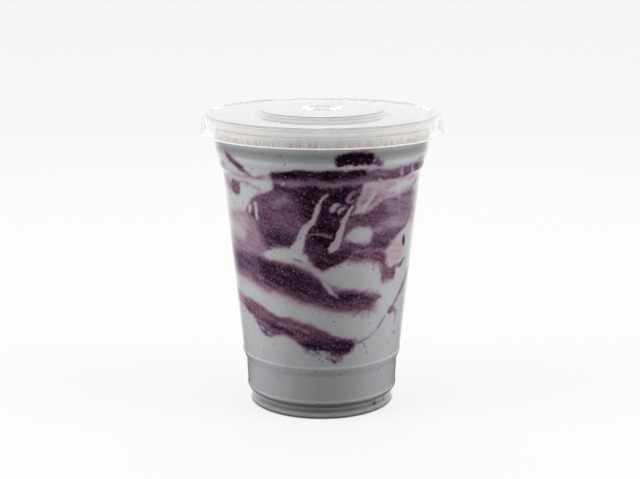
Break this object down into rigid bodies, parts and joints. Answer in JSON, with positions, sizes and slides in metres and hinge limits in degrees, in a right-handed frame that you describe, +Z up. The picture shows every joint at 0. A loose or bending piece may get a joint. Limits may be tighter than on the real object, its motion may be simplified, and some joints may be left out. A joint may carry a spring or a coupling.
{
  "type": "frozen yogurt cup",
  "caption": "Clear plastic cup with a push-fit flat lid and straw cut, filled with frozen yogurt marbled with dark berry.",
  "frame": {"origin": "centre of the cup's foot, on the surface it stands on", "axes": "+Z up along the cup's axis, -Y towards the side that the picture shows"},
  "size_m": [0.1046, 0.1046, 0.1283],
  "materials": {
    "clear_cup": "clear thermoformed PET, glossy",
    "clear_lid": "clear thermoformed PET, glossy",
    "marbled_yogurt": "smooth grey-white frozen yogurt with dark purple berry marbling, satin"
  },
  "bodies": {
    "root": {"cup": "clear_cup", "lid": "clear_lid", "frozen_yogurt": "marbled_yogurt"}
  },
  "joints": []
}
